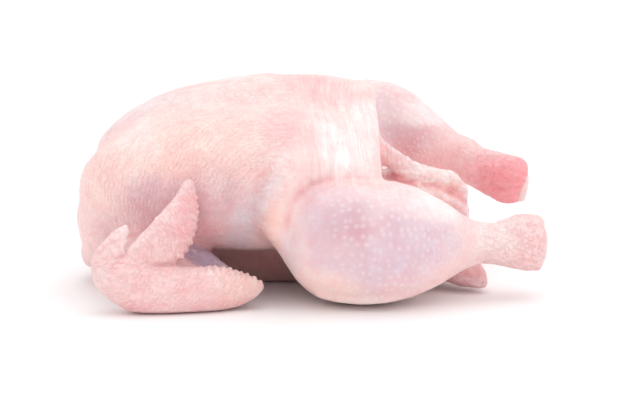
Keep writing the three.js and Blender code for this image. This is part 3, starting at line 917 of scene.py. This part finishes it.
def add_attribute(obj, name, kind, values):
    attribute = obj.data.attributes.new(name, kind, "POINT")
    key = "color" if kind == "FLOAT_COLOR" else "vector" if kind == "FLOAT_VECTOR" else "value"
    attribute.data.foreach_set(key, np.ascontiguousarray(values, np.float32).ravel())


# Materials

# Blood and fat under the skin, in soft mottles: noise scale, strength and shade
MOTTLES = [
    (38, 0.6, (0.99, 0.84, 0.86)),
    (120, 0.55, (1.0, 0.86, 0.87)),
    (420, 0.4, (1.0, 0.88, 0.87)),
]
DOT_COLOUR = (0.97, 0.88, 0.87)
ROW_LIGHT = (0.95, 0.82, 0.78)
ROW_SHADE = (0.98, 0.78, 0.77)
CREASE_SHADE = (0.92, 0.66, 0.66)
STRAND_SHADE = (0.96, 0.80, 0.79)
GRISTLE = (0.86, 0.62, 0.59)
MARROW = (0.62, 0.20, 0.19)


class Nodes:
    """A short way to build a material's nodes."""

    def __init__(self, name):
        self.material = bpy.data.materials.new(name)
        self.material.use_nodes = True
        self.tree = self.material.node_tree
        self.shader = self.tree.nodes["Principled BSDF"]

    def add(self, kind, inputs=(), **settings):
        node = self.tree.nodes.new("ShaderNode" + kind)
        for key, value in settings.items():
            setattr(node, key, value)
        for key, value in dict(inputs).items():
            self.set(node, key, value)
        return node

    def set(self, node, key, value):
        if isinstance(value, bpy.types.NodeSocket):
            self.tree.links.new(value, node.inputs[key])
        else:
            node.inputs[key].default_value = value

    def math(self, operation, a, b=0.0, clamp=False):
        return self.add("Math", {0: a, 1: b}, operation=operation, use_clamp=clamp).outputs[0]

    def ramp(self, value, low, high, to_low=0.0, to_high=1.0):
        inputs = {"Value": value, "From Min": low, "From Max": high, "To Min": to_low, "To Max": to_high}
        return self.add("MapRange", inputs, interpolation_type="SMOOTHSTEP").outputs["Result"]

    def mix(self, amount, a, b, blend="MIX"):
        node = self.add("Mix", data_type="RGBA", blend_type=blend)
        self.set(node, "Factor", amount)
        for socket, value in ((node.inputs[6], a), (node.inputs[7], b)):
            if isinstance(value, bpy.types.NodeSocket):
                self.tree.links.new(value, socket)
            else:
                socket.default_value = (*value, 1) if len(value) == 3 else value
        return node.outputs[2]

    def times(self, a, b):
        return self.math("MULTIPLY", a, b)

    def shaded(self, colour, shade):
        return self.mix(1.0, colour, shade, "MULTIPLY")

    def total(self, *parts):
        """The sum of values, each times its own weight."""
        out = 0.0
        for value, weight in parts:
            out = self.math("ADD", out, self.times(value, weight))
        return out

    def noise(self, vector, scale, detail=3.0, roughness=0.55):
        inputs = {"Vector": vector, "Scale": scale, "Detail": detail, "Roughness": roughness}
        return self.add("TexNoise", inputs).outputs["Fac"]

    def stretched(self, vector, scale):
        return self.add("Mapping", {"Vector": vector, "Scale": scale}).outputs["Vector"]


def mottled(n, colour, place_on):
    for scale, strength, shade in MOTTLES:
        spots = n.ramp(n.noise(place_on, scale, 4), 0.38, 0.66)
        colour = n.mix(n.times(spots, strength), colour, n.shaded(colour, shade))
    return colour


def follicle_dots(n, place_on, flat):
    """Goose pimples, in loose rows, plainer in some places than in others."""
    inputs = {"Vector": flat, "Scale": 1 / FOLLICLE_SPACING, "Randomness": 0.65}
    cells = n.add("TexVoronoi", inputs, voronoi_dimensions="2D")
    patchy = n.ramp(n.noise(place_on, 60, 2), 0.35, 0.6, 0.5, 1.0)
    return n.times(n.ramp(cells.outputs["Distance"], 0.42, 0.02), patchy)


def feather_rows(n, place_on, flat):
    """Short strokes in broken rows, from -1 to 1."""
    wobble = n.times(n.noise(place_on, 130, 3), 7.0)
    across = n.add("SeparateXYZ", {"Vector": flat}).outputs["X"]
    phase = n.times(n.math("ADD", across, wobble), 2 * math.pi / ROW_SPACING)
    broken = n.ramp(n.noise(n.stretched(flat, (0.5, 1, 1)), 0.28, 2), 0.42, 0.58)
    return n.times(n.math("SINE", phase), broken)


def fine_creases(n, place_on):
    """A net of short fine creases."""
    net = n.noise(n.stretched(place_on, (0.7, 1, 1)), 300, 5, 0.62)
    return n.ramp(n.math("ABSOLUTE", n.math("SUBTRACT", net, 0.5)), 0.045, 0.0)


def upright_strands(n, place_on):
    """Fine upright lines that lean and waver."""
    at = n.add("SeparateXYZ", {"Vector": place_on}).outputs
    sway = n.total((n.noise(place_on, 30, 2), 0.012), (at["Z"], 0.12))
    swayed = n.add("CombineXYZ", {"X": n.math("ADD", at["X"], sway), "Y": at["Y"], "Z": at["Z"]})
    return n.ramp(n.noise(n.stretched(swayed.outputs["Vector"], (1, 0.1, 0.07)), 480, 3, 0.6), 0.42, 0.66)


def skin_material():
    n = Nodes("raw_skin")
    place_on = n.add("TexCoord").outputs["Object"]
    tint = n.add("Attribute", attribute_name="tint").outputs["Color"]
    flat = n.add("Attribute", attribute_name="skin_map").outputs["Vector"]
    shown = {name: n.add("Attribute", attribute_name=name).outputs["Fac"] for name in SKIN_DETAIL}
    dot = n.times(follicle_dots(n, place_on, flat), shown["follicles"])
    row = n.times(feather_rows(n, place_on, flat), shown["rows"])
    crease = n.times(fine_creases(n, place_on), shown["wrinkles"])
    strand = n.times(upright_strands(n, place_on), shown["strands"])

    colour = mottled(n, tint, place_on)
    colour = n.mix(n.times(dot, 0.33), colour, DOT_COLOUR)
    colour = n.mix(n.ramp(row, 0.0, 0.9, 0.0, 0.55), colour, n.shaded(colour, ROW_SHADE))
    colour = n.mix(n.ramp(row, 0.0, -0.9, 0.0, 0.4), colour, ROW_LIGHT)
    colour = n.mix(n.times(crease, 0.35), colour, n.shaded(colour, CREASE_SHADE))
    colour = n.mix(n.times(strand, 0.42), colour, n.shaded(colour, STRAND_SHADE))

    grain, pores = n.noise(place_on, 210, 3), n.noise(place_on, 520, 3)
    high = n.total((dot, 0.6), (row, 0.35), (crease, -0.8), (strand, -0.9), (pores, 0.6), (grain, 1.0))
    bump = n.add("Bump", {"Height": high, "Strength": 0.6, "Distance": 0.0009})
    n.set(n.shader, "Base Color", colour)
    n.set(n.shader, "Normal", bump.outputs["Normal"])
    n.set(n.shader, "Roughness", n.ramp(n.noise(place_on, 160, 3), 0.3, 0.7, 0.38, 0.58))
    n.shader.inputs["Subsurface Weight"].default_value = 0.12
    n.shader.inputs["Subsurface Radius"].default_value = (1.0, 0.45, 0.35)
    n.shader.inputs["Subsurface Scale"].default_value = 0.002
    n.shader.inputs["Specular IOR Level"].default_value = 0.35
    n.shader.inputs["Coat Weight"].default_value = 0.06
    n.shader.inputs["Coat Roughness"].default_value = 0.3
    return n.material


def joint_material():
    n = Nodes("cut_joint")
    place_on = n.add("TexCoord").outputs["Object"]
    marrow = n.ramp(n.noise(place_on, 150, 2), 0.48, 0.72)
    colour = n.mix(n.times(marrow, 0.6), GRISTLE, MARROW)
    n.set(n.shader, "Base Color", colour)
    n.set(n.shader, "Roughness", n.ramp(n.noise(place_on, 300, 2), 0.3, 0.7, 0.2, 0.4))
    bump = n.add("Bump", {"Height": n.noise(place_on, 500, 3), "Strength": 0.3, "Distance": 0.0004})
    n.set(n.shader, "Normal", bump.outputs["Normal"])
    n.shader.inputs["Subsurface Weight"].default_value = 0.2
    n.shader.inputs["Subsurface Radius"].default_value = (1.0, 0.5, 0.4)
    n.shader.inputs["Subsurface Scale"].default_value = 0.002
    return n.material


def table_material():
    n = Nodes("white_table")
    place_on = n.add("TexCoord").outputs["Object"]
    shade = n.ramp(n.noise(place_on, 3, 2), 0.3, 0.7, 0.955, 0.965)
    colour = n.add("CombineColor", {"Red": shade, "Green": shade, "Blue": shade})
    n.set(n.shader, "Base Color", colour.outputs["Color"])
    n.shader.inputs["Roughness"].default_value = 0.6
    n.shader.inputs["Specular IOR Level"].default_value = 0.2
    return n.material


# The bird


def build_skin():
    skin = Skin()
    obj = make_object("chicken_skin", kept_in_box(place(skin.shape())), skin.quads, skin_material())
    colours = painted(skin)
    add_attribute(obj, "tint", "FLOAT_COLOR", np.column_stack([colours, np.ones(len(colours))]))
    add_attribute(obj, "skin_map", "FLOAT_VECTOR", skin_map(skin))
    for name, measure in SKIN_DETAIL.items():
        add_attribute(obj, name, "FLOAT", measure(skin))
    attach(obj, "root")
    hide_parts("chicken")


# The knuckle of a cut ankle, in its own directions: two lobes side by side on the end of the bone
LOBE_RADII = (5.2, 6.6, 10.5)
LOBES_APART = 10
LOBES_BACK = 4
BONE = ((-12, 8), (-2, 9))  # distance ahead of the lobes and radius
LOBE_FILLET = 2
BONE_FILLET = 3
JOINT_EDGE = 1.5
JOINT_REACH = (-22, 18)


def cut_joint(name, drumstick, cut, material):
    """The knuckle of a cut ankle: a gristle cap with two rounded lobes and a groove between them."""
    before, end = np.array(drumstick[-2], float), np.array(drumstick[-1], float)
    ahead = (end - before)[:3] / np.linalg.norm((end - before)[:3])
    centre = end[:3] + ahead * (cut["x"] - end[0] - LOBES_BACK)
    aside = np.array([0, LOBES_APART / 2, 0])

    def field(p):
        lobes = [ellipsoid(p, centre + side * aside, LOBE_RADII) for side in (-1, 1)]
        bone = limb(p, [(*(centre + ahead * distance), radius) for distance, radius in BONE])
        d = smooth_min(smooth_min(*lobes, LOBE_FILLET), bone, BONE_FILLET)
        beyond = cut["x"] + cut["slope"] * (p[:, 2] - cut["level"]) - p[:, 0]
        return carve(d, beyond, JOINT_EDGE)

    points, quads = joint_mesh(field, centre + JOINT_REACH[0], centre + JOINT_REACH[1])
    obj = make_object(name, kept_in_box(place(points)), quads, material)
    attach(obj, "root")


def joint_mesh(field, low, high):
    """A fine mesh of a small field that doesn't stand on the table."""
    base = np.array([0, 0, low[2]])
    points, quads, _ = fine_mesh(lambda p: field(p + base), (low - base, high - base), JOINT_CELL)
    return points + base, quads


build_skin()
gristle = joint_material()
cut_joint("near_ankle_joint", NEAR_DRUMSTICK, NEAR_CUT, gristle)
cut_joint("far_ankle_joint", FAR_DRUMSTICK, FAR_CUT, gristle)


# The table, the light and the camera

FLOOR_SIZE = 12.0
CAMERA_ELEVATION = math.radians(9)
CAMERA_DISTANCE = 1.1
CAMERA_TARGET = Vector((0.0022, 0, 0.0424))
FOCAL_PX = 1833.33
PHOTO_WIDTH_PX = 626
SENSOR_MM = 36
WORLD_BRIGHTNESS = 1.06
SUN_TOWARDS = (-0.3, -0.2, -1)
SUN_STRENGTH = 0.6
SUN_ANGLE_DEG = 70


def build_floor():
    half = FLOOR_SIZE / 2
    mesh = bpy.data.meshes.new("table_top")
    corners = [(-half, -half, 0), (half, -half, 0), (half, half, 0), (-half, half, 0)]
    mesh.from_pydata(corners, [], [(0, 1, 2, 3)])
    mesh.materials.append(table_material())
    floor = bpy.data.objects.new("table_top", mesh)
    bpy.context.scene.collection.objects.link(floor)


def soft_sun(name, towards, strength, angle):
    """A very broad, even light, like a large panel far above the table."""
    data = bpy.data.lights.new(name, "SUN")
    data.energy = strength
    data.angle = math.radians(angle)
    light = bpy.data.objects.new(name, data)
    light.rotation_euler = Vector(towards).to_track_quat("-Z", "Y").to_euler()
    bpy.context.scene.collection.objects.link(light)


def build_light():
    soft_sun("top_light", SUN_TOWARDS, SUN_STRENGTH, SUN_ANGLE_DEG)
    world = bpy.data.worlds.new("studio")
    world.use_nodes = True
    world.node_tree.nodes["Background"].inputs["Color"].default_value = (1, 1, 1, 1)
    world.node_tree.nodes["Background"].inputs["Strength"].default_value = WORLD_BRIGHTNESS
    bpy.context.scene.world = world
    bpy.context.scene.view_settings.view_transform = "Standard"


def build_camera():
    data = bpy.data.cameras.new("camera")
    data.sensor_width = SENSOR_MM
    data.lens = FOCAL_PX * SENSOR_MM / PHOTO_WIDTH_PX
    data.clip_start, data.clip_end = 0.05, 30
    camera = bpy.data.objects.new("camera", data)
    back = Vector((0, -math.cos(CAMERA_ELEVATION), math.sin(CAMERA_ELEVATION)))
    camera.location = CAMERA_TARGET + back * CAMERA_DISTANCE
    camera.rotation_euler = (-back).to_track_quat("-Z", "Y").to_euler()
    bpy.context.scene.collection.objects.link(camera)
    bpy.context.scene.camera = camera


build_floor()
build_light()
build_camera()
